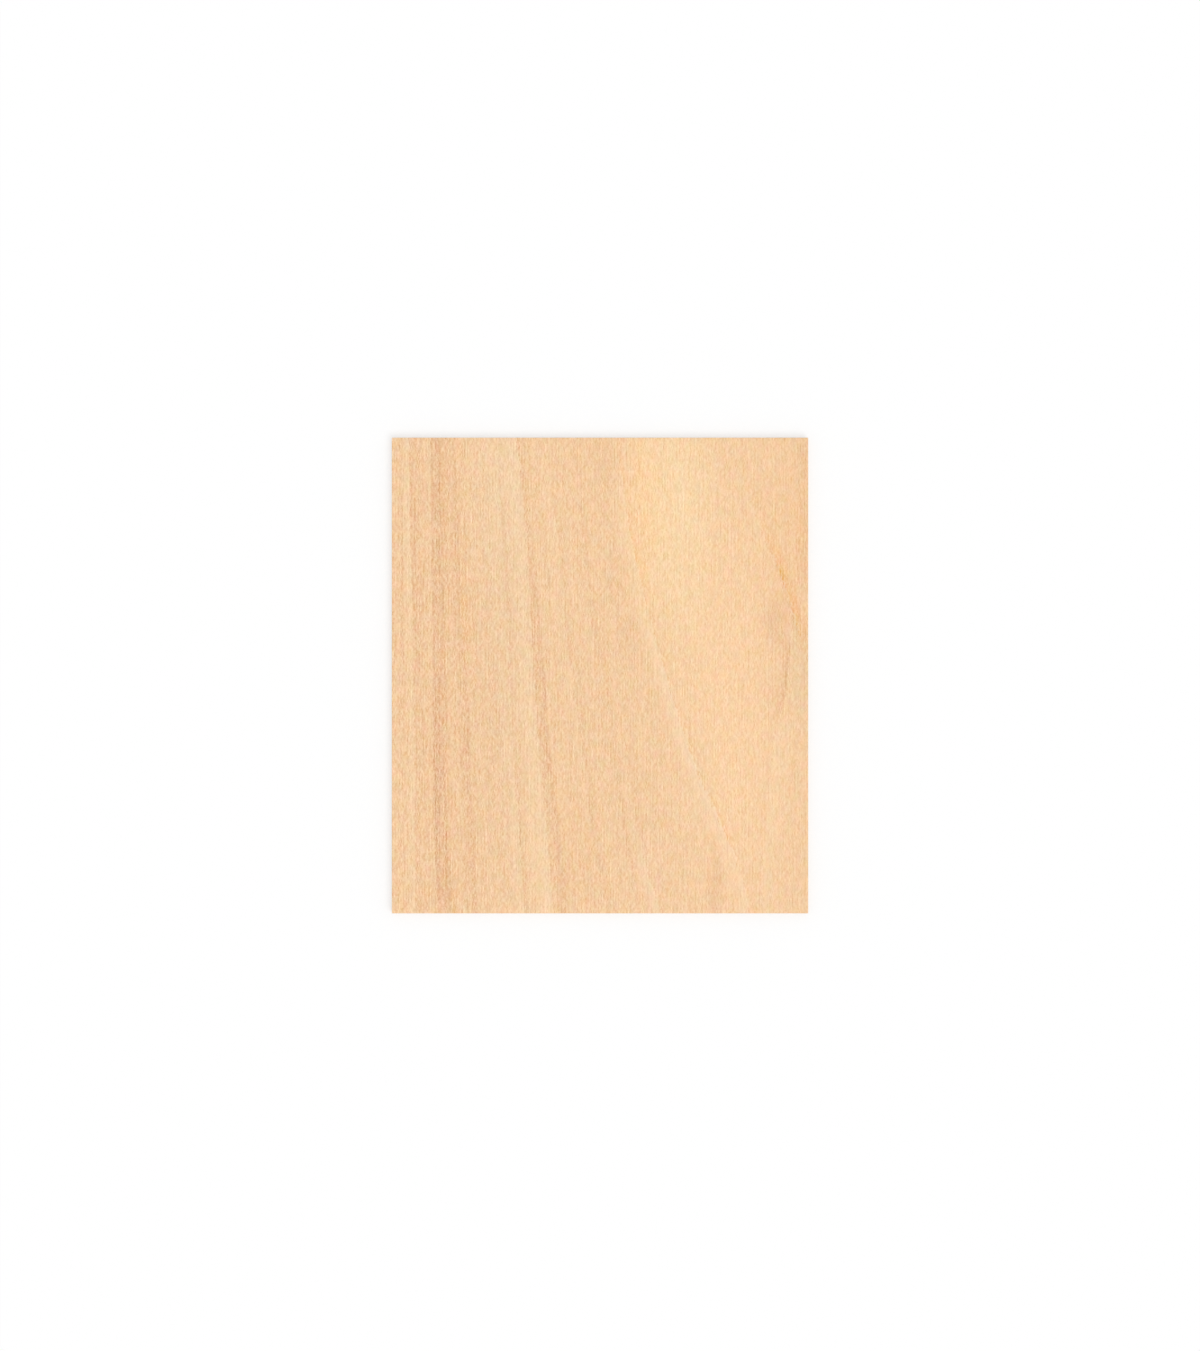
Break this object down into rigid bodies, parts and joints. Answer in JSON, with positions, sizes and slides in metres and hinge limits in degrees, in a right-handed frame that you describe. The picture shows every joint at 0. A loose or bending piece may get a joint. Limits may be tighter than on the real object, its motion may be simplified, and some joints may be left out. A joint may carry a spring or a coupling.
{
  "type": "plywood sheet",
  "caption": "Flat rectangular plywood sheet with a pale, straight-grained face veneer, square corners and lightly eased sawn edges; raw stock to cut, glue or screw.",
  "frame": {"origin": "middle of the back face, on the surface that the sheet lies on", "axes": "+X across the face grain, +Y along the face grain, +Z out of the good face"},
  "size_m": [0.2666, 0.3048, 0.0063],
  "materials": {
    "plywood": "bare sanded pale veneer, matt"
  },
  "bodies": {
    "root": {"plywood_sheet": "plywood"}
  },
  "joints": []
}
